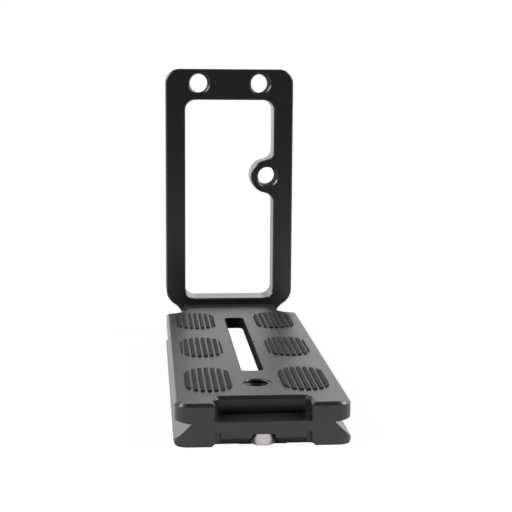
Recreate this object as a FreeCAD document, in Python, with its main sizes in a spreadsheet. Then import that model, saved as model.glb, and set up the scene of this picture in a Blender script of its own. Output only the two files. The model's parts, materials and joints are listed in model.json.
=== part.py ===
"""Universal dovetail L-bracket for a camera, as a parametric document in millimetres.

+Z is up and +X is to the right for someone who faces the free front end of the base.
The front end points to -Y and the upright stands at +Y. The origin lies on the ground,
under the middle of the bracket.
"""
import FreeCAD, Part
import math
import os
import re
import Sketcher

SIZES = {
    # The L as a whole: clear length of the base, plate thicknesses and height
    "reach": 111.6,
    "base_thickness": 9.3,
    "upright_thickness": 9.0,
    "overall_height": 79.2,
    "dovetail_width": 38.0,
    "deck_width": 37.7,
    "upright_width": 37.3,
    # Dovetail groove, the same on the base and on the upright
    "flange_edge": 3.75,
    "groove_level": 4.3,
    "groove_inset": 3.8,
    "foot_edge_radius": 0.9,
    "nose_radius": 0.4,
    "flange_radius": 0.5,
    # Plan of the base: rounded front corners and wings that end short of the upright
    "front_corner_radius": 3.2,
    "wing_length": 100.2,
    "relief_radius": 5.15,
    "edge_chamfer": 0.65,
    "foot_fillet": 0.5,
    # Outline of the upright
    "shoulder_height": 4.8,
    "shoulder_radius": 5.0,
    "top_corner_radius": 4.0,
    "face_chamfer": 0.35,
    # Window of the upright and the lug on its right wall
    "window_width": 26.0,
    "window_sill": 2.2,
    "top_bar": 8.9,
    "window_corner_radius": 3.0,
    "lug_offset": 11.2,
    "lug_level": 38.6,
    "lug_radius": 4.85,
    "lug_blend": 3.0,
    # Three plain holes of the upright
    "hole_diameter": 5.5,
    "hole_chamfer": 0.5,
    "top_hole_spacing": 17.9,
    "top_hole_drop": 4.1,
    # Camera slot with its index mark, and the camera thread in front of it
    "slot_start": 29.2,
    "slot_length": 63.3,
    "slot_width": 5.0,
    "slot_corner_radius": 1.5,
    "rim_chamfer": 0.25,
    "mark_length": 7.0,
    "mark_width": 0.4,
    "mark_depth": 0.25,
    "thread_place": 18.0,
    "thread_diameter": 6.4,
    # Underside: deep channel, low front block and the grooves beside the rails
    "channel_start": 24.0,
    "channel_width": 20.5,
    "channel_corner_radius": 3.0,
    "web_thickness": 3.0,
    "mouth_width": 21.1,
    "block_lift": 0.1,
    "block_chamfer": 1.8,
    "rail_groove_width": 1.2,
    "rail_groove_height": 3.0,
    "rail_groove_depth": 1.5,
    "rail_chamfer": 0.75,
    # Notch in the front edge of the deck
    "notch_width": 20.5,
    "notch_length": 6.1,
    "notch_depth": 3.9,
    "notch_corner_radius": 1.6,
    # Stop screw under the front block
    "screw_inset": 2.65,
    "screw_head_diameter": 5.1,
    "screw_head_height": 2.57,
    "screw_head_edge": 0.25,
    "screw_diameter": 3.0,
    "screw_length": 2.0,
    "screw_clearance": 0.1,
    "socket_width": 2.5,
    "socket_depth": 1.3,
    "seat_diameter": 7.2,
    "seat_depth": 2.6,
    # Grip pads: ribbed rubber let into pockets of the deck
    "pad_length": 20.8,
    "pad_width": 10.2,
    "pad_margin": 2.9,
    "pad_first": 20.8,
    "pad_pitch": 33.6,
    "pad_pocket": 1.0,
    "pad_clearance": 0.05,
    "rib_height": 0.35,
    "rib_pitch": 1.5,
    "rib_gap": 0.6,
}

# Places that follow from the driving sizes
DERIVED = {
    "half": "dovetail_width / 2",
    "deck_half": "deck_width / 2",
    "upright_half": "upright_width / 2",
    "waist": "dovetail_width / 2 - relief_radius",
    "front": "-(reach + upright_thickness) / 2",
    "inner": "(reach - upright_thickness) / 2",
    "rear": "(reach + upright_thickness) / 2",
    "wing_end": "front + wing_length + relief_radius",
    "deck": "base_thickness",
    "ceiling": "base_thickness - web_thickness",
    "tip": "half - groove_inset",
    "tip_level": "deck - groove_level",
    "nose_level": "tip_level - groove_inset",
    "sill": "deck + window_sill",
    "head": "overall_height - top_bar",
    "lug_height": "deck + lug_level",
    "top_hole_height": "overall_height - top_hole_drop",
    "shoulder_step": "upright_half - waist",
    "shoulder_rise": "sqrt(4 * shoulder_radius * shoulder_step - shoulder_step^2)",
    "shoulder_top": "deck + shoulder_height",
    "pad_side": "deck_half - pad_margin - pad_width / 2",
    "blend_side": "window_width / 2 - lug_blend - lug_offset",
    "blend_rise": "sqrt((lug_radius + lug_blend)^2 - blend_side^2)",
    "blend_share": "lug_radius / (lug_radius + lug_blend)",
}

# Rows of grip pads, and what lies on the middle line of each pad
PAD_ROWS = (("front", "rib"), ("middle", "gap"), ("rear", "rib"))
SIDES = (("left", -1), ("right", 1))
SOCKET_CORNERS = 6

# Cutting profiles stand this far outside the metal
OVERRUN = 1.0
CLOCKWISE = -1
ANTICLOCKWISE = 1
TOLERANCE = 0.02

doc = FreeCAD.newDocument("LBracket")
sheet = doc.addObject("Spreadsheet::Sheet", "Sizes")
for row, (name, number) in enumerate(SIZES.items(), start=1):
    sheet.set(f"A{row}", name)
    sheet.set(f"B{row}", str(number))
    sheet.setAlias(f"B{row}", name)
doc.recompute()


def formula(text):
    """Write a formula of size names as an expression on the sheet."""
    def link(match):
        word = match.group(0)
        if word in DERIVED:
            return "(" + formula(DERIVED[word]) + ")"
        return "Sizes." + word if word in SIZES else word

    return re.sub(r"[a-z_]+", link, str(text))


def value(text):
    """Work a formula out to a number."""
    return float(sheet.evalExpression(formula(text)))


def bind(target, setting, text):
    """Tie one setting of an object to the sheet."""
    target.setExpression(setting, formula(text))


def new_sketch(body, name, plane, offset):
    """Attach an empty sketch to an origin plane, moved along that plane's normal."""
    sketch = body.newObject("Sketcher::SketchObject", name)
    support = next(item for item in body.Origin.OriginFeatures if item.Role == plane)
    sketch.AttachmentSupport = [(support, "")]
    sketch.MapMode = "FlatFace"
    bind(sketch, "AttachmentOffset.Base.z", offset)
    return sketch


def plan_sketch(body, name, height):
    """Sketch seen from above: its axes are X and Y."""
    return new_sketch(body, name, "XY_Plane", height)


def front_sketch(body, name, place):
    """Sketch seen from the front: its axes are X and Z, and its normal is -Y."""
    return new_sketch(body, name, "XZ_Plane", f"-({place})")


def side_sketch(body, name):
    """Sketch on the middle plane seen from the right: its axes are Y and Z."""
    return new_sketch(body, name, "YZ_Plane", "0")


def pin_point(sketch, element, point, x, y):
    """Hold a point of a sketch element at formulas measured from the origin."""
    for axis, text in (("DistanceX", x), ("DistanceY", y)):
        rule = sketch.addConstraint(Sketcher.Constraint(axis, -1, 1, element, point, value(text)))
        bind(sketch, f"Constraints[{rule}]", text)


def arc_between(start, end, radius, turn):
    """Short arc of a given radius, always stored anticlockwise."""
    chord = end - start
    aside = FreeCAD.Vector(-chord.y, chord.x, 0).normalize() * turn
    height = math.sqrt(max(radius**2 - chord.Length**2 / 4, 0))
    centre = (start + end) / 2 + aside * height
    first, last = (start, end) if turn == ANTICLOCKWISE else (end, start)
    angles = [math.atan2(point.y - centre.y, point.x - centre.x) for point in (first, last)]
    return Part.ArcOfCircle(Part.Circle(centre, FreeCAD.Vector(0, 0, 1), radius), *angles)


def trace(sketch, path):
    """Closed outline through (x, y) corners; (x, y, radius, turn) starts an arc to the next one."""
    corners = [FreeCAD.Vector(value(step[0]), value(step[1]), 0) for step in path]
    elements = []
    for index, step in enumerate(path):
        start = corners[index]
        end = corners[(index + 1) % len(path)]
        if len(step) == 2:
            elements.append((sketch.addGeometry(Part.LineSegment(start, end), False), 1, 2))
            continue
        radius, turn = step[2:]
        arc = sketch.addGeometry(arc_between(start, end, value(radius), turn), False)
        elements.append((arc, 1, 2) if turn == ANTICLOCKWISE else (arc, 2, 1))
    for index, (element, _, last) in enumerate(elements):
        following, begin, _ = elements[(index + 1) % len(path)]
        sketch.addConstraint(Sketcher.Constraint("Coincident", element, last, following, begin))
    for (element, first, _), step in zip(elements, path):
        pin_point(sketch, element, first, step[0], step[1])
        if len(step) == 4:
            rule = sketch.addConstraint(Sketcher.Constraint("Radius", element, value(step[2])))
            bind(sketch, f"Constraints[{rule}]", step[2])


def mirrored(path):
    """The same outline on the other side of the middle plane, walked the other way round."""
    corners = [(f"-({step[0]})", step[1]) for step in path]
    edges = [step[2:] for step in path]
    count = len(path)
    return [corners[-index] + edges[-index - 1] for index in range(count)]


def trace_both_sides(sketch, path):
    """An outline and its mirror image."""
    trace(sketch, path)
    trace(sketch, mirrored(path))


def ring(sketch, x, y, diameter):
    """A full circle."""
    centre = FreeCAD.Vector(value(x), value(y), 0)
    circle = Part.Circle(centre, FreeCAD.Vector(0, 0, 1), value(diameter) / 2)
    element = sketch.addGeometry(circle, False)
    pin_point(sketch, element, 3, x, y)
    rule = sketch.addConstraint(Sketcher.Constraint("Diameter", element, value(diameter)))
    bind(sketch, f"Constraints[{rule}]", diameter)


def obround(x, y, length, width):
    """Path of a slot along the sketch's second axis, with each round end as two quarter circles."""
    side = f"({width}) / 2"
    reach = f"(({length}) - ({width})) / 2"
    return [
        (f"({x}) + {side}", f"({y}) - {reach}"),
        (f"({x}) + {side}", f"({y}) + {reach}", side, ANTICLOCKWISE),
        (x, f"({y}) + ({length}) / 2", side, ANTICLOCKWISE),
        (f"({x}) - {side}", f"({y}) + {reach}"),
        (f"({x}) - {side}", f"({y}) - {reach}", side, ANTICLOCKWISE),
        (x, f"({y}) - ({length}) / 2", side, ANTICLOCKWISE),
    ]


def rounded_corner(x, y, radius, x_side, y_side):
    """Two path steps that round off a corner; the sides say where its centre lies."""
    along_x = (f"({x}) + {x_side} * ({radius})", y)
    along_y = (x, f"({y}) + {y_side} * ({radius})")
    return (along_x, along_y) if x_side * y_side < 0 else (along_y, along_x)


def rounded_rectangle(left, right, low, high, radius):
    """Path of a rectangle with four round corners, walked anticlockwise."""
    path = []
    for x, y, x_side, y_side in ((right, low, -1, 1), (right, high, -1, -1),
                                 (left, high, 1, -1), (left, low, 1, 1)):
        enter, leave = rounded_corner(x, y, radius, x_side, y_side)
        path += [(*enter, radius, ANTICLOCKWISE), leave]
    return path


def settle(feature):
    """Recompute and stop at once if a feature has failed."""
    doc.recompute()
    if not feature.isValid() or feature.Shape.isNull():
        raise RuntimeError(f"{feature.Name} failed: {feature.getStatusString()}")
    return feature


def pad(body, sketch, length, reverse=False, symmetric=False):
    """Add metal along the sketch's normal."""
    feature = body.newObject("PartDesign::Pad", sketch.Name + "_pad")
    feature.Profile = sketch
    bind(feature, "Length", length)
    feature.Reversed = reverse
    feature.SideType = "Symmetric" if symmetric else "One side"
    return settle(feature)


def pocket(body, sketch, depth=None, reverse=False, symmetric=False):
    """Cut against the sketch's normal, right through unless a depth is given."""
    before = body.Tip.Shape.Volume
    feature = body.newObject("PartDesign::Pocket", sketch.Name + "_cut")
    feature.Profile = sketch
    if depth is None:
        feature.Type = "ThroughAll"
    else:
        bind(feature, "Length", depth)
    feature.Reversed = reverse
    feature.SideType = "Symmetric" if symmetric else "One side"
    settle(feature)
    if feature.Shape.Volume >= before:
        raise RuntimeError(f"{feature.Name} cuts nothing")
    return feature


def lies_at(edge, **places):
    """Whether an edge lies on the given planes, on either side of the middle plane."""
    box = edge.BoundBox
    limits = {"x": (box.XMin, box.XMax), "y": (box.YMin, box.YMax), "z": (box.ZMin, box.ZMax)}
    for axis, text in places.items():
        for limit in limits[axis]:
            reading = abs(limit) if axis == "x" else limit
            if abs(reading - value(text)) > TOLERANCE:
                return False
    return True


def lies_within(edge, side, low, high):
    """Whether an edge lies between two places along the base and no farther out than a given side."""
    box = edge.BoundBox
    return (max(-box.XMin, box.XMax) < value(side) + TOLERANCE
            and box.YMin > value(low) - TOLERANCE and box.YMax < value(high) + TOLERANCE)


def soften(body, kind, name, size, choose):
    """Fillet or chamfer the edges of the body that a test chooses."""
    base = body.Tip
    chosen = [f"Edge{index}" for index, edge in enumerate(base.Shape.Edges, start=1) if choose(edge)]
    feature = body.newObject("PartDesign::" + kind, name)
    feature.Base = (base, chosen)
    bind(feature, "Radius" if kind == "Fillet" else "Size", size)
    return settle(feature)


def cut_underside(body):
    """Deep channel behind the front block, and a low one with sloping sides along the whole length."""
    channel = plan_sketch(body, body.Name + "_channel", "0")
    side = "channel_width / 2"
    begin = "front + channel_start"
    right_out, right_in = rounded_corner(side, begin, "channel_corner_radius", -1, 1)
    left_out, left_in = rounded_corner(f"-{side}", begin, "channel_corner_radius", 1, 1)
    trace(channel, [
        (side, f"rear + {OVERRUN}"),
        (f"-{side}", f"rear + {OVERRUN}"),
        (*left_out, "channel_corner_radius", ANTICLOCKWISE),
        left_in,
        (*right_out, "channel_corner_radius", ANTICLOCKWISE),
        right_in,
    ])
    pocket(body, channel, "ceiling", reverse=True)
    mouth = front_sketch(body, body.Name + "_mouth", "front")
    low = f"mouth_width / 2 + {OVERRUN}"
    high = "mouth_width / 2 - block_lift"
    trace(mouth, [(f"-({low})", f"-{OVERRUN}"), (low, f"-{OVERRUN}"), (high, "block_lift"),
                  (f"-({high})", "block_lift")])
    pocket(body, mouth)


def round_front_corners(body, name, side, height, depth):
    """Round both front corners of the base in plan, down from a height."""
    corner = plan_sketch(body, name, height)
    trace_both_sides(corner, [
        (f"{side} - front_corner_radius", f"front - {OVERRUN}"),
        (f"{side} + {OVERRUN}", f"front - {OVERRUN}"),
        (f"{side} + {OVERRUN}", "front + front_corner_radius"),
        (side, "front + front_corner_radius", "front_corner_radius", CLOCKWISE),
        (f"{side} - front_corner_radius", "front"),
    ])
    pocket(body, corner, depth)


def build_base():
    """Base plate with dovetail sides, waist, notch, slot and underside."""
    body = doc.addObject("PartDesign::Body", "base_plate")

    # Dovetail section, run from the front end to the waist
    section = front_sketch(body, "section", "front")
    right = [("half", "0"), ("half", "nose_level"), ("tip", "tip_level"),
             ("deck_half", "deck - flange_edge"), ("deck_half", "deck")]
    left = [(f"-({x})", y) for x, y in reversed(right)]
    trace(section, right + left)
    pad(body, section, "wing_length + relief_radius", reverse=True)
    soften(body, "Fillet", "foot_edges", "foot_edge_radius", lambda edge: (
        lies_at(edge, x="half", z="0") and edge.BoundBox.YLength > TOLERANCE))
    soften(body, "Fillet", "noses", "nose_radius", lambda edge: lies_at(edge, x="half", z="nose_level"))
    soften(body, "Fillet", "flange_edges", "flange_radius",
           lambda edge: lies_at(edge, x="deck_half", z="deck - flange_edge"))

    # Round reliefs where the wings end, and rounded front corners
    relief = plan_sketch(body, "relief", "deck")
    ring(relief, "half", "wing_end", "2 * relief_radius")
    ring(relief, "-half", "wing_end", "2 * relief_radius")
    pocket(body, relief)
    round_front_corners(body, "deck_corners", "deck_half", "deck", "groove_level")
    round_front_corners(body, "foot_corners", "half", "tip_level", "tip_level")

    # Notch in the front edge
    notch = plan_sketch(body, "notch", "deck")
    side = "notch_width / 2"
    back = "front + notch_length"
    right_in, right_out = rounded_corner(side, back, "notch_corner_radius", -1, -1)
    left_in, left_out = rounded_corner(f"-{side}", back, "notch_corner_radius", 1, -1)
    trace(notch, [
        (f"-{side}", f"front - {OVERRUN}"),
        (side, f"front - {OVERRUN}"),
        (*right_in, "notch_corner_radius", ANTICLOCKWISE),
        right_out,
        (*left_in, "notch_corner_radius", ANTICLOCKWISE),
        left_out,
    ])
    pocket(body, notch, "notch_depth")

    # Chamfer round the deck and round the mouth of the notch
    soften(body, "Chamfer", "deck_edges", "edge_chamfer", lambda edge: (
        lies_at(edge, z="deck") and not lies_at(edge, y="wing_end")))

    # Waist that carries the upright, with the same chamfers and a small fillet at the foot
    waist = front_sketch(body, "waist", "wing_end")
    trace(waist, [
        ("-waist", "0"),
        ("waist", "0"),
        ("waist", "deck - edge_chamfer"),
        ("waist - edge_chamfer", "deck"),
        ("-waist + edge_chamfer", "deck"),
        ("-waist", "deck - edge_chamfer"),
    ])
    pad(body, waist, "inner + upright_thickness / 2 - wing_end", reverse=True)
    fillet = side_sketch(body, "foot")
    trace(fillet, [
        ("inner - foot_fillet", "deck", "foot_fillet", ANTICLOCKWISE),
        ("inner", "deck + foot_fillet"),
        ("inner + foot_fillet", "deck + foot_fillet"),
        ("inner + foot_fillet", "deck - foot_fillet"),
        ("inner - foot_fillet", "deck - foot_fillet"),
    ])
    pad(body, fillet, "2 * (waist - edge_chamfer)", symmetric=True)

    # Underside, with the front block's own cuts
    cut_underside(body)
    rail_groove = front_sketch(body, "rail_groove", "front")
    inside = "channel_width / 2 - rail_groove_width"
    trace_both_sides(rail_groove, [
        (inside, f"-{OVERRUN}"),
        (f"channel_width / 2 + rail_chamfer + {OVERRUN}", f"-{OVERRUN}"),
        ("channel_width / 2", "rail_chamfer"),
        ("channel_width / 2", "rail_groove_height"),
        (inside, "rail_groove_height"),
    ])
    pocket(body, rail_groove, "rail_groove_depth")
    block_edge = side_sketch(body, "block_edge")
    trace(block_edge, [
        (f"front - {OVERRUN}", f"-{OVERRUN}"),
        ("front + block_chamfer", f"-{OVERRUN}"),
        ("front + block_chamfer", "block_lift"),
        ("front", "block_lift + block_chamfer"),
        (f"front - {OVERRUN}", "block_lift + block_chamfer"),
    ])
    pocket(body, block_edge, "channel_width", symmetric=True)

    # Seat and hole of the stop screw, from below
    seat = plan_sketch(body, "seat", "0")
    ring(seat, "0", "front + screw_inset", "seat_diameter")
    pocket(body, seat, "seat_depth", reverse=True)
    screw_hole = plan_sketch(body, "screw_hole", "0")
    ring(screw_hole, "0", "front + screw_inset", "screw_diameter + 2 * screw_clearance")
    pocket(body, screw_hole, "seat_depth + screw_length + screw_clearance", reverse=True)

    # Camera slot, its index mark and the camera thread
    slot = plan_sketch(body, "slot", "deck")
    trace(slot, rounded_rectangle("-slot_width / 2", "slot_width / 2", "front + slot_start",
                                  "front + slot_start + slot_length", "slot_corner_radius"))
    pocket(body, slot)
    soften(body, "Chamfer", "slot_rim", "rim_chamfer", lambda edge: (
        lies_at(edge, z="deck") and lies_within(edge, "slot_width / 2", "front + slot_start",
                                                "front + slot_start + slot_length")))
    mark = plan_sketch(body, "mark", "deck")
    middle = "front + slot_start + slot_length / 2"
    trace(mark, [
        ("-mark_length / 2", f"{middle} - mark_width / 2"),
        ("mark_length / 2", f"{middle} - mark_width / 2"),
        ("mark_length / 2", f"{middle} + mark_width / 2"),
        ("-mark_length / 2", f"{middle} + mark_width / 2"),
    ])
    pocket(body, mark, "mark_depth")
    thread = plan_sketch(body, "thread", "deck")
    ring(thread, "0", "front + thread_place", "thread_diameter")
    pocket(body, thread)
    soften(body, "Chamfer", "thread_rim", "rim_chamfer", lambda edge: (
        lies_at(edge, z="deck") and lies_within(edge, "thread_diameter / 2",
                                                "front + thread_place - thread_diameter / 2",
                                                "front + thread_place + thread_diameter / 2")))

    # Pockets for the grip pads
    pockets = plan_sketch(body, "pad_pockets", "deck")
    for row in range(len(PAD_ROWS)):
        trace_both_sides(pockets, obround("pad_side", f"front + pad_first + {row} * pad_pitch",
                                          "pad_length + 2 * pad_clearance",
                                          "pad_width + 2 * pad_clearance"))
    pocket(body, pockets, "pad_pocket")
    return body


def build_upright():
    """Upright plate with shoulders, window, lug, holes and dovetail sides."""
    body = doc.addObject("PartDesign::Body", "upright_plate")

    # Outline: waist, curved shoulders, straight sides and round top corners
    outline = front_sketch(body, "outline", "inner")
    right = [
        ("waist", "0"),
        ("waist", "shoulder_top - shoulder_rise", "shoulder_radius", CLOCKWISE),
        ("waist + shoulder_step / 2", "shoulder_top - shoulder_rise / 2", "shoulder_radius", ANTICLOCKWISE),
        ("upright_half", "shoulder_top"),
        ("upright_half", "overall_height - top_corner_radius", "top_corner_radius", ANTICLOCKWISE),
        ("upright_half - top_corner_radius", "overall_height"),
    ]
    left = [
        ("-(upright_half - top_corner_radius)", "overall_height", "top_corner_radius", ANTICLOCKWISE),
        ("-upright_half", "overall_height - top_corner_radius"),
        ("-upright_half", "shoulder_top", "shoulder_radius", ANTICLOCKWISE),
        ("-(waist + shoulder_step / 2)", "shoulder_top - shoulder_rise / 2", "shoulder_radius", CLOCKWISE),
        ("-waist", "shoulder_top - shoulder_rise"),
        ("-waist", "0"),
    ]
    trace(outline, right + left)
    pad(body, outline, "upright_thickness", reverse=True)

    # Window; the lug stands out of its right wall on two round blends
    window = front_sketch(body, "window", "inner")
    wall = "window_width / 2"
    lower = rounded_rectangle(f"-{wall}", wall, "sill", "head", "window_corner_radius")
    lug = [
        (wall, "lug_height - blend_rise", "lug_blend", ANTICLOCKWISE),
        ("lug_offset + blend_side * blend_share", "lug_height - blend_rise * blend_share",
         "lug_radius", CLOCKWISE),
        ("lug_offset + blend_side * blend_share", "lug_height + blend_rise * blend_share",
         "lug_blend", ANTICLOCKWISE),
        (wall, "lug_height + blend_rise"),
    ]
    trace(window, lower[:2] + lug + lower[2:])
    pocket(body, window)
    soften(body, "Chamfer", "face_edges", "face_chamfer",
           lambda edge: (lies_at(edge, y="inner") or lies_at(edge, y="rear")) and not lies_at(edge, z="0"))

    # Plain holes with chamfered rims
    holes = front_sketch(body, "holes", "inner")
    ring(holes, "top_hole_spacing / 2", "top_hole_height", "hole_diameter")
    ring(holes, "-top_hole_spacing / 2", "top_hole_height", "hole_diameter")
    ring(holes, "lug_offset", "lug_height", "hole_diameter")
    pocket(body, holes)
    round_rims = value("hole_diameter") / 2
    soften(body, "Chamfer", "hole_rims", "hole_chamfer", lambda edge: (
        isinstance(edge.Curve, Part.Circle)
        and abs(edge.Curve.Radius - round_rims) < TOLERANCE
        and (lies_at(edge, y="inner") or lies_at(edge, y="rear"))))

    # Dovetail grooves down both sides
    groove = plan_sketch(body, "groove", "overall_height")
    outside = f"upright_half + {OVERRUN}"
    trace_both_sides(groove, [
        ("upright_half - groove_inset", "inner + groove_level"),
        ("upright_half", "inner + flange_edge"),
        (outside, "inner + flange_edge"),
        (outside, f"inner + groove_level + groove_inset + {OVERRUN}"),
    ])
    pocket(body, groove)
    cut_underside(body)
    return body


def build_bracket():
    """Base and upright are milled from one piece of metal."""
    whole = doc.addObject("Part::Fuse", "bracket_body")
    whole.Base = build_base()
    whole.Tool = build_upright()
    whole.Refine = True
    return whole


def build_stop_screw():
    """Socket-head screw whose head hangs under the front block."""
    body = doc.addObject("PartDesign::Body", "front_stop_screw")
    head = plan_sketch(body, "head", "0")
    ring(head, "0", "0", "screw_head_diameter")
    pad(body, head, "screw_head_height", reverse=True)
    soften(body, "Fillet", "head_edge", "screw_head_edge", lambda edge: lies_at(edge, z="-screw_head_height"))
    shank = plan_sketch(body, "shank", "0")
    ring(shank, "0", "0", "screw_diameter")
    pad(body, shank, "screw_length")
    socket = plan_sketch(body, "socket", "-screw_head_height")
    corner = "socket_width / sqrt(3)"
    angles = [f"{step} * 360 deg / {SOCKET_CORNERS}" for step in range(SOCKET_CORNERS)]
    trace(socket, [(f"{corner} * cos({angle})", f"{corner} * sin({angle})") for angle in angles])
    pocket(body, socket, "socket_depth", reverse=True)
    bind(body, "Placement.Base.y", "front + screw_inset")
    bind(body, "Placement.Base.z", "seat_depth")
    return body


def build_grip_pad(name, side, row, centre):
    """One rubber pad with lengthwise ribs, cut from a ribbed sheet, in its pocket of the deck."""
    body = doc.addObject("PartDesign::Body", name)
    room = value("(pad_width - rib_gap) / (2 * rib_pitch)")
    gaps = 2 * math.floor(room) + 1 if centre == "gap" else 2 * math.floor(room + 0.5)
    blank = plan_sketch(body, "blank", "0")
    trace(blank, obround("0", "0", "pad_length", "pad_width"))
    pad(body, blank, "pad_pocket + rib_height")
    gap = front_sketch(body, "gap", "0")
    first = f"-{gaps - 1} / 2 * rib_pitch"
    top = f"pad_pocket + rib_height + {OVERRUN}"
    trace(gap, [
        (f"{first} - rib_gap / 2", "pad_pocket"),
        (f"{first} + rib_gap / 2", "pad_pocket"),
        (f"{first} + rib_gap / 2", top),
        (f"{first} - rib_gap / 2", top),
    ])
    cut = pocket(body, gap, "2 * pad_length", symmetric=True)
    ribs = body.newObject("PartDesign::LinearPattern", "ribs")
    ribs.Originals = [cut]
    ribs.Direction = (gap, ["H_Axis"])
    bind(ribs, "Length", f"{gaps - 1} * rib_pitch")
    ribs.Occurrences = gaps
    body.Tip = ribs
    bind(body, "Placement.Base.x", f"{side} * pad_side")
    bind(body, "Placement.Base.y", f"front + pad_first + {row} * pad_pitch")
    bind(body, "Placement.Base.z", "deck - pad_pocket")
    return body


parts = [build_bracket(), build_stop_screw()]
for side_name, side in SIDES:
    for row, (row_name, centre) in enumerate(PAD_ROWS):
        parts.append(build_grip_pad(f"grip_pad_{side_name}_{row_name}", side, row, centre))
doc.recompute()

for item in doc.Objects:
    if {"Invalid", "Error"} & set(item.State):
        raise RuntimeError(f"{item.Name} failed: {item.State}")
for part in parts:
    part.Label = part.Name
    if part.Shape.isNull() or not part.Shape.isValid() or len(part.Shape.Solids) != 1:
        raise RuntimeError(f"{part.Label} is not one sound solid")

os.makedirs("parts", exist_ok=True)
for part in parts:
    part.Shape.exportStep(f"parts/{part.Label}.step")
    print(part.Label, round(part.Shape.Volume, 1))
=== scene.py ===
"""Studio picture of a black dovetail L-bracket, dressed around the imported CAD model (metres)."""
import json
import math

import bmesh
import bpy
from mathutils import Matrix, Vector


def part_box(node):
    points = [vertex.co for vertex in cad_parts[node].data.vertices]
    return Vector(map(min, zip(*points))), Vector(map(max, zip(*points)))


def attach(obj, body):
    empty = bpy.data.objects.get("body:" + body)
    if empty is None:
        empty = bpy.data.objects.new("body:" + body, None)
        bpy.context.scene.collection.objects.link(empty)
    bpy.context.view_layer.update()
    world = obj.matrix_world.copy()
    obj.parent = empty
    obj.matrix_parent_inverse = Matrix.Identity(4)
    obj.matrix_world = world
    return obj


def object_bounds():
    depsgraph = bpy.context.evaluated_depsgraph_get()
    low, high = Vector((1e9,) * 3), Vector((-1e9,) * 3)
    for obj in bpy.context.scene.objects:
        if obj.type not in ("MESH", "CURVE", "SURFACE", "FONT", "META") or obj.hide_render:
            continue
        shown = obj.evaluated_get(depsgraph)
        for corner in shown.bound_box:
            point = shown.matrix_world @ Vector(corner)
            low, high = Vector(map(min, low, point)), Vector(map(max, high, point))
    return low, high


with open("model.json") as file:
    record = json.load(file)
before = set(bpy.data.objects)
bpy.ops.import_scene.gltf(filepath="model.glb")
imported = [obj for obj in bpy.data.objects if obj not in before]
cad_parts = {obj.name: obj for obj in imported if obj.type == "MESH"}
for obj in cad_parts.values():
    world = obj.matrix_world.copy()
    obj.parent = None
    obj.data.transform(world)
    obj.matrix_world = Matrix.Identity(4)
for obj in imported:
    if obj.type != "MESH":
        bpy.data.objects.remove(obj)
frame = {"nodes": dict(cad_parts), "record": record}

MM = 0.001
CAD_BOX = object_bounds()

# Places of the bracket's features, from its record
MOUNTS = {mount["name"]: mount for mount in frame["record"]["mounts"]}
OPENINGS = {opening["name"]: opening["box_m"] for opening in frame["record"]["physics"]["openings"]}
LENGTH = CAD_BOX[1][1] - CAD_BOX[0][1]
DECK_LEVEL = MOUNTS["camera_deck"]["pos_m"][2]

# Rounding of the machined edges and of the rubber ribs
EDGE_RADIUS = 0.15 * MM
RIB_ROUND = 0.16 * MM
RIB_SEGMENTS = 3
SHARP_ANGLE = math.radians(35.0)

# Size of the features in each finish
METAL_GRAIN = 0.12 * MM
METAL_CLOUD = 14.0 * MM
BRUSH_WIDTH = 0.1 * MM
BRUSH_STRETCH = 0.03
RUBBER_GRAIN = 0.25 * MM
TURNING_WIDTH = 0.12 * MM
STEEL_STAIN = 1.2 * MM

# How far the cut finish (matt, and darkened as painted shade) reaches past its walls, past the
# slot's rim and its ends
CUT_SKIN = 0.15 * MM
SLOT_RIM = 0.4 * MM
SLOT_MARGIN = 2 * MM

# Front notch: how far its walls lie outside its free space, and its share of the cut finish, which
# there is painted shade
NOTCH_MARGIN = 0.85 * MM
NOTCH_SHADE_SHARE = 0.3

# Heights over the deck where a pad's valley ends and its rib begins
VALLEY_TOP = DECK_LEVEL + 0.02 * MM
RIB_SIDE = DECK_LEVEL + 0.15 * MM

# Index mark across the slot, a little larger than its cut
MARK_SIZE = (7.1 * MM, 0.5 * MM)

# Camera thread in the deck: quarter-inch, twenty threads to the inch
THREAD_AXIS = Vector((*MOUNTS["camera_thread"]["pos_m"][:2], 0.0))
THREAD_RADIUS = MOUNTS["camera_thread"]["dims"]["r_mm"] * MM
THREAD_TOP = DECK_LEVEL - 0.25 * MM
THREAD_BOTTOM = DECK_LEVEL - 8.2 * MM
THREAD_PITCH = 1.27 * MM
THREAD_HEIGHT = 0.62 * MM
THREAD_HALF_ROOT = 0.44 * THREAD_PITCH
THREAD_HALF_CREST = 0.06 * THREAD_PITCH
THREAD_BITE = 0.02 * MM
THREAD_START = math.radians(165.0)
THREAD_STEPS_PER_TURN = 48

# Camera, from the straight edges of the photograph
CAMERA_PLACE = Vector((-24.16, -310.34, 77.27)) * MM
CAMERA_YAW = math.radians(5.081)
CAMERA_PITCH = math.radians(8.318)
CAMERA_ROLL = math.radians(0.372)
FOCAL_PIXELS = 1230.96
IMAGE_PIXELS = 512
SENSOR_WIDTH = 36.0
NEAR_LIMIT = 10 * MM

# Pale floor: where it ends, the depth of its shadow, and its share of glow in reflections, which is
# painted light, dimmed under the bracket as painted shade
FLOOR_FRONT = -1.4 * LENGTH
FLOOR_BACK = 5.0 * LENGTH
FLOOR_HALF_WIDTH = 10.0 * LENGTH
FLOOR_GREY = 0.9
SHADOW_DEPTH = 0.05
SHADOW_UNDER = 0.4 * CAD_BOX[1][0]
GLOW_UNDER = 0.12
GLOW_AROUND = 0.8
GLOW_START = -1 * MM
GLOW_END = 8 * MM

# Softboxes, one at each side
SOFTBOX_PLACE = Vector((4.5, -0.5, 3.6)) * LENGTH
SOFTBOX_WIDTH = 2.4 * LENGTH
SOFTBOX_HEIGHT = 3.6 * LENGTH
SOFTBOX_POWER = 4.4
SOFTBOX_AIM = Vector((0.0, 0.0, LENGTH / 4))

# Light of the room on the bracket: from in front and overhead, and in the band behind it
ROOM_FRONT = 0.03
ROOM_OVERHEAD = 0.06
BAND_LOW = 1.38
BAND_LEFT = 0.5
BAND_RIGHT = 2.05


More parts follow.
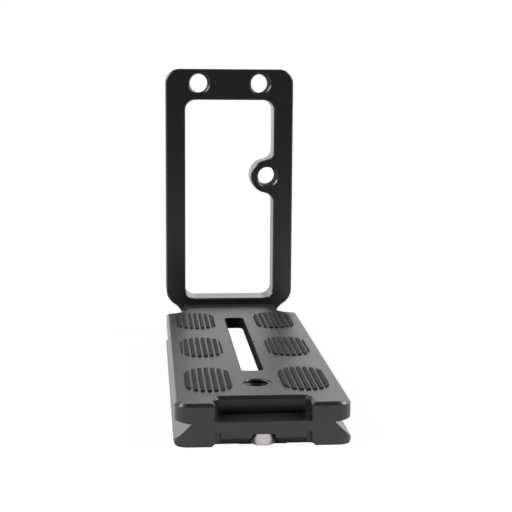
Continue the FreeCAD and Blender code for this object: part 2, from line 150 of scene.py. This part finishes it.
class Wire:
    """An output socket of a node tree that can be used in sums."""

    def __init__(self, tree, socket):
        self.tree = tree
        self.socket = socket

    def maths(self, operation, *others):
        return self.tree.node("ShaderNodeMath", {0: self, **dict(enumerate(others, start=1))},
                              operation=operation)

    def __add__(self, other):
        return self.maths("ADD", other)

    def __sub__(self, other):
        return self.maths("SUBTRACT", other)

    def __mul__(self, other):
        return self.maths("MULTIPLY", other)

    def __rsub__(self, other):
        return (self * -1.0) + other

    def below(self, limit):
        """1 where the wire is under a limit, else 0."""
        return self.maths("LESS_THAN", limit)

    __radd__ = __add__
    __rmul__ = __mul__


class Tree:
    """Builds the nodes of one material or world."""

    def __init__(self, owner):
        owner.use_nodes = True
        self.nodes = owner.node_tree.nodes
        self.links = owner.node_tree.links
        self.nodes.clear()

    def node(self, kind, inputs=None, output=0, **settings):
        """A new node with its settings, and numbers, colours or wires on its inputs."""
        node = self.nodes.new(kind)
        for name, setting in settings.items():
            setattr(node, name, setting)
        for name, given in (inputs or {}).items():
            if isinstance(given, Wire):
                self.links.new(given.socket, node.inputs[name])
            else:
                node.inputs[name].default_value = given
        return Wire(self, node.outputs[output]) if node.outputs else node

    def place(self):
        """Object coordinates, in metres in the frame."""
        return self.node("ShaderNodeTexCoord", output="Object")

    def axes(self, vector):
        """The three parts of a vector."""
        return [self.node("ShaderNodeSeparateXYZ", {"Vector": vector}, output=axis)
                for axis in "XYZ"]

    def noise(self, size, detail=2.0, vector=None):
        """Even noise whose features are about a given size."""
        return self.node("ShaderNodeTexNoise",
                         {"Vector": vector or self.place(), "Scale": 1.0 / size, "Detail": detail},
                         output="Fac")

    def ramp(self, wire, start, end, low, high):
        """A straight rise from one level to another between two readings of a wire."""
        return self.node("ShaderNodeMapRange", {"Value": wire, "From Min": start, "From Max": end,
                                                "To Min": low, "To Max": high}, output="Result")

    def spread(self, wire, low, high):
        """A wire from 0 to 1 moved to a range."""
        return wire * (high - low) + low

    def tint(self, level, red=1.0, green=1.0, blue=1.0):
        """A colour of one level, leaning towards a hue."""
        return self.node("ShaderNodeCombineColor",
                         {"Red": level * red, "Green": level * green, "Blue": level * blue})

    def bump(self, height, distance, normal=None):
        """Relief of a given depth, on the plain surface or on another normal."""
        inputs = {"Height": height, "Distance": distance}
        if normal:
            inputs["Normal"] = normal
        return self.node("ShaderNodeBump", inputs, output="Normal")

    def mix(self, share, first, second):
        return self.node("ShaderNodeMixShader", {0: share, 1: first, 2: second})

    def finish(self, shader, output="ShaderNodeOutputMaterial"):
        self.node(output, {"Surface": shader})


def grey(level):
    return (level, level, level, 1.0)


def new_material(name):
    material = bpy.data.materials.new(name)
    return material, Tree(material)


def upright_holes():
    """Middle of each plain hole of the upright, seen from the front, and its radius."""
    lug = MOUNTS["lug_hole"]
    pair = MOUNTS["top_holes"]
    aside = pair["dims"]["spacing_x_mm"] / 2 * MM
    middle_x, _, middle_z = pair["pos_m"]
    radius = pair["dims"]["hole_r_mm"] * MM
    return [(lug["pos_m"][0], lug["pos_m"][2], lug["dims"]["r_mm"] * MM),
            (middle_x - aside, middle_z, radius), (middle_x + aside, middle_z, radius)]


def cut_walls_matt_and_shade(tree):
    """Where the cuts are matt and darkened as painted shade: 1 on the walls of the holes, the
    camera slot and its mark, less in the notch, else 0.
    """
    x, y, z = tree.axes(tree.place())
    low, high = OPENINGS["camera_slot"]
    found = (x.maths("ABSOLUTE").below(high[0] + SLOT_RIM) * y.below(high[1] + SLOT_MARGIN)
             * (low[1] - SLOT_MARGIN - y).below(0.0) * z.below(DECK_LEVEL - CUT_SKIN / 5))
    mark = (y - (low[1] + high[1]) / 2).maths("ABSOLUTE").below(MARK_SIZE[1] / 2)
    found = found.maths("MAXIMUM", mark * x.maths("ABSOLUTE").below(MARK_SIZE[0] / 2)
                        * z.below(DECK_LEVEL - CUT_SKIN / 3)
                        * (DECK_LEVEL - 2 * CUT_SKIN - z).below(0.0))
    for middle_x, middle_z, radius in upright_holes():
        aside = x - middle_x
        above = z - middle_z
        found = found + (aside * aside + above * above).below((radius + CUT_SKIN / 2) ** 2)
    # The notch takes part of the cut finish only as painted shade
    low, high = OPENINGS["front_notch"]
    notch = (x.maths("ABSOLUTE").below(high[0] + NOTCH_MARGIN)
             * y.below(high[1] + NOTCH_MARGIN + SLOT_RIM)
             * (low[2] - NOTCH_MARGIN - z).below(0.0) * z.below(DECK_LEVEL - CUT_SKIN / 5))
    return found.maths("MAXIMUM", notch * NOTCH_SHADE_SHARE)


def anodised_aluminium():
    """Black anodised aluminium: satin, with a cross-brushed deck, and inside its cuts a matt finish
    darkened as painted shade.
    """
    material, tree = new_material("anodised_aluminium")
    grain = tree.noise(METAL_GRAIN)
    cloud = tree.noise(METAL_CLOUD)
    soft = tree.node("ShaderNodeBevel", {"Radius": EDGE_RADIUS}, output="Normal", samples=6)
    x, y, z = tree.axes(tree.place())
    deck = (z - DECK_LEVEL).maths("ABSOLUTE").below(EDGE_RADIUS)
    lines = tree.node("ShaderNodeCombineXYZ", {"X": x * BRUSH_STRETCH, "Y": y, "Z": z})
    brushed = tree.noise(BRUSH_WIDTH, vector=lines)
    skin = tree.node("ShaderNodeBsdfPrincipled", {
        "Base Color": tree.tint(tree.spread(cloud, 0.014, 0.020), blue=1.05),
        "Roughness": tree.spread(grain, 0.25, 0.33) + deck * 0.13,
        "Normal": tree.bump((brushed - 0.5) * deck, 0.02 * MM, tree.bump(grain, 0.003 * MM, soft)),
        "Specular IOR Level": 0.6,
    })
    # Inside the cuts: rougher, with a darker colour and weak reflection that are painted shade
    cut = tree.node("ShaderNodeBsdfPrincipled", {
        "Base Color": tree.tint(tree.spread(grain, 0.004, 0.009)),
        "Roughness": tree.spread(grain, 0.55, 0.75),
        "Normal": tree.bump(grain, 0.02 * MM),
        "Specular IOR Level": 0.06,
    })
    tree.finish(tree.mix(cut_walls_matt_and_shade(tree), skin, cut))
    return material


def grip_rubber():
    """Matt black rubber with a granular skin on the ribs and a smooth one between them."""
    material, tree = new_material("grip_rubber")
    grain = tree.noise(RUBBER_GRAIN, detail=4.0)
    height = tree.axes(tree.place())[2]
    rib = tree.ramp(height, VALLEY_TOP, RIB_SIDE, 0.0, 1.0)
    soft = tree.node("ShaderNodeBevel", {"Radius": 2 * RIB_ROUND}, output="Normal", samples=8)
    tree.finish(tree.node("ShaderNodeBsdfPrincipled", {
        "Base Color": tree.tint(tree.spread(grain, 0.014, 0.032)),
        "Roughness": tree.spread(grain, 0.6, 0.8),
        "Normal": tree.bump(grain * rib, 0.05 * MM, soft),
        "Specular IOR Level": 0.1,
        "Coat Weight": 0.8 - 0.8 * rib,
        "Coat Roughness": 0.38,
    }))
    return material


def stainless_steel():
    """Turned stainless steel with fine rings round the screw's axis."""
    material, tree = new_material("stainless_steel")
    low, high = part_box("front_stop_screw")
    x, y, z = tree.axes(tree.place())
    aside = x - (low.x + high.x) / 2
    along = y - (low.y + high.y) / 2
    radius = (aside * aside + along * along).maths("SQRT")
    turned = tree.node("ShaderNodeCombineXYZ", {"X": radius, "Z": z})
    rings = tree.noise(TURNING_WIDTH, vector=turned)
    stain = tree.noise(STEEL_STAIN)
    tree.finish(tree.node("ShaderNodeBsdfPrincipled", {
        "Base Color": tree.tint(tree.spread(stain, 0.58, 0.70), green=0.96, blue=0.91),
        "Metallic": 1.0,
        "Roughness": tree.spread(rings, 0.3, 0.46),
        "Normal": tree.bump(rings, 0.004 * MM),
    }))
    return material


def floor_material():
    """Pale sweep: white to the camera far off, with a soft shadow kept near the bracket; in
    reflections it glows as painted light, dimmed under the bracket as painted shade, and under the
    screw's seat its glow is left off so its shadow shows.
    """
    material, tree = new_material("pale_floor")
    matt = tree.node("ShaderNodeBsdfDiffuse", {"Color": grey(FLOOR_GREY)})
    glow = tree.node("ShaderNodeEmission", {"Color": grey(1.0), "Strength": 1.0})
    x, y, _ = tree.axes(tree.place())
    aside = x.maths("ABSOLUTE")
    outside = (aside - CAD_BOX[1][0]).maths("MAXIMUM", CAD_BOX[0][1] - y)
    outside = outside.maths("MAXIMUM", y - CAD_BOX[1][1])
    low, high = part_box("front_stop_screw")
    reach = high.x - low.x
    # Patch under the screw's seat with no glow, so the floor's shadow shows there
    seat = aside.below(reach) * (low.y + reach / 3 - y).below(0.0) * y.below(high.y + reach)
    beside = (-SHADOW_UNDER - outside).below(0.0)
    shadow = tree.ramp(outside, 0.0, LENGTH, SHADOW_DEPTH, 0.0) * beside
    seen = tree.node("ShaderNodeLightPath", output="Is Camera Ray") * (1.0 - shadow) * (1.0 - seat)
    mirrored = tree.node("ShaderNodeLightPath", output="Is Glossy Ray")
    # The floor's glow in reflections is painted light, dimmed under the bracket as painted shade
    bright = tree.ramp(outside, GLOW_START, GLOW_END, GLOW_UNDER, GLOW_AROUND)
    tree.finish(tree.mix(seen + mirrored * bright, matt, glow))
    return material


def new_piece(name, mesh_builder, material):
    """A new mesh piece on the one rigid body."""
    mesh = bpy.data.meshes.new(name)
    shape = bmesh.new()
    mesh_builder(shape)
    shape.to_mesh(mesh)
    shape.free()
    mesh.set_sharp_from_angle(angle=SHARP_ANGLE)
    mesh.materials.append(material)
    piece = bpy.data.objects.new(name, mesh)
    bpy.context.collection.objects.link(piece)
    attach(piece, "root")
    return piece


def thread_ridge(shape):
    """A V-shaped ridge that winds down the wall of the hole, cut flat just under the deck."""
    outer = THREAD_RADIUS + THREAD_BITE
    inner = THREAD_RADIUS - THREAD_HEIGHT
    corners = [(outer, THREAD_HALF_ROOT), (inner, THREAD_HALF_CREST),
               (inner, -THREAD_HALF_CREST), (outer, -THREAD_HALF_ROOT)]
    start = THREAD_AXIS + Vector((0.0, 0.0, THREAD_TOP + THREAD_HALF_ROOT))
    turn = Matrix.Rotation(THREAD_START, 3, "Z")
    points = [shape.verts.new(start + turn @ Vector((r, 0.0, z))) for r, z in corners]
    edges = [shape.edges.new(pair) for pair in zip(points, points[1:] + points[:1])]
    turns = (THREAD_TOP - THREAD_BOTTOM) / THREAD_PITCH
    steps = round(turns * THREAD_STEPS_PER_TURN)
    bmesh.ops.spin(shape, geom=points + edges, cent=THREAD_AXIS, axis=(0, 0, 1),
                   dvec=(0, 0, -THREAD_PITCH / THREAD_STEPS_PER_TURN),
                   angle=-2 * math.pi * turns, steps=steps, use_merge=False)
    bmesh.ops.bisect_plane(shape, geom=[*shape.verts, *shape.edges, *shape.faces],
                           plane_co=(0, 0, THREAD_TOP), plane_no=(0, 0, 1), clear_outer=True)
    bmesh.ops.holes_fill(shape, edges=shape.edges)
    bmesh.ops.recalc_face_normals(shape, faces=shape.faces)
    for face in shape.faces:
        face.smooth = True


def round_ribs(node):
    """Round the edges of a pad's ribs as moulded rubber has them."""
    rounding = node.modifiers.new("rib_rounding", "BEVEL")
    rounding.width = RIB_ROUND
    rounding.segments = RIB_SEGMENTS
    rounding.limit_method = "ANGLE"


def dress_cad_nodes(metal, rubber, steel):
    """Give every carried-over solid its material."""
    for name, node in frame["nodes"].items():
        look = metal
        if name.startswith("grip_pad"):
            look = rubber
            round_ribs(node)
        elif name == "front_stop_screw":
            look = steel
        node.data.materials.clear()
        node.data.materials.append(look)


def add_floor():
    """Floor that ends in front of the bracket, where the room is dark."""
    mesh = bpy.data.meshes.new("floor")
    shape = bmesh.new()
    bmesh.ops.create_grid(shape, x_segments=1, y_segments=1, size=0.5)
    depth = FLOOR_BACK - FLOOR_FRONT
    bmesh.ops.scale(shape, vec=(2 * FLOOR_HALF_WIDTH, depth, 1.0), verts=shape.verts)
    bmesh.ops.translate(shape, vec=(0.0, FLOOR_FRONT + depth / 2, 0.0), verts=shape.verts)
    shape.to_mesh(mesh)
    shape.free()
    mesh.materials.append(floor_material())
    floor = bpy.data.objects.new("floor", mesh)
    bpy.context.collection.objects.link(floor)


def add_world():
    """White to the camera; to the bracket, bright behind and dim in front and overhead."""
    world = bpy.data.worlds.new("studio")
    bpy.context.scene.world = world
    tree = Tree(world)
    across, back, rise = tree.axes(tree.node("ShaderNodeTexCoord", output="Generated"))
    behind = tree.ramp(back, -0.25, 0.35, ROOM_FRONT, 1.0)
    upper = tree.ramp(across, 0.0, 0.07, BAND_LEFT, BAND_RIGHT)
    band = tree.ramp(rise, 0.18, 0.34, BAND_LOW, upper)
    overhead = tree.ramp(rise, 0.6, 0.85, 1.0, ROOM_OVERHEAD)
    light = tree.tint(behind * band * overhead)
    room = tree.node("ShaderNodeBackground", {"Color": light, "Strength": 1.0})
    white = tree.node("ShaderNodeBackground", {"Color": grey(1.0), "Strength": 1.0})
    seen = tree.node("ShaderNodeLightPath", output="Is Camera Ray")
    tree.finish(tree.mix(seen, room, white), "ShaderNodeOutputWorld")


def add_softbox(name, place):
    """A tall area lamp turned towards the bracket."""
    lamp = bpy.data.lights.new(name, "AREA")
    lamp.shape = "RECTANGLE"
    lamp.size = SOFTBOX_WIDTH
    lamp.size_y = SOFTBOX_HEIGHT
    lamp.energy = SOFTBOX_POWER
    box = bpy.data.objects.new(name, lamp)
    box.location = place
    box.rotation_euler = (SOFTBOX_AIM - place).to_track_quat("-Z", "Y").to_euler()
    bpy.context.collection.objects.link(box)


def add_camera():
    """Pinhole camera of the photograph: yaw to the right, pitch down, then roll."""
    ahead = Vector((math.sin(CAMERA_YAW) * math.cos(CAMERA_PITCH),
                    math.cos(CAMERA_YAW) * math.cos(CAMERA_PITCH),
                    -math.sin(CAMERA_PITCH)))
    right = Vector((math.cos(CAMERA_YAW), -math.sin(CAMERA_YAW), 0.0))
    above = right.cross(ahead)
    side = right * math.cos(CAMERA_ROLL) + above * math.sin(CAMERA_ROLL)
    top = above * math.cos(CAMERA_ROLL) - right * math.sin(CAMERA_ROLL)
    data = bpy.data.cameras.new("camera")
    data.sensor_width = SENSOR_WIDTH
    data.lens = FOCAL_PIXELS / IMAGE_PIXELS * SENSOR_WIDTH
    data.clip_start = NEAR_LIMIT
    camera = bpy.data.objects.new("camera", data)
    camera.matrix_world = Matrix((side, top, -ahead)).transposed().to_4x4()
    camera.location = CAMERA_PLACE
    bpy.context.collection.objects.link(camera)
    bpy.context.scene.camera = camera


metal = anodised_aluminium()
dress_cad_nodes(metal, grip_rubber(), stainless_steel())
new_piece("camera_thread", thread_ridge, metal)
add_floor()
add_world()
for side_name, side in (("left", -1), ("right", 1)):
    add_softbox(side_name + "_softbox", Vector((side, 1, 1)) * SOFTBOX_PLACE)
add_camera()

scene = bpy.context.scene
scene.view_settings.view_transform = "Standard"
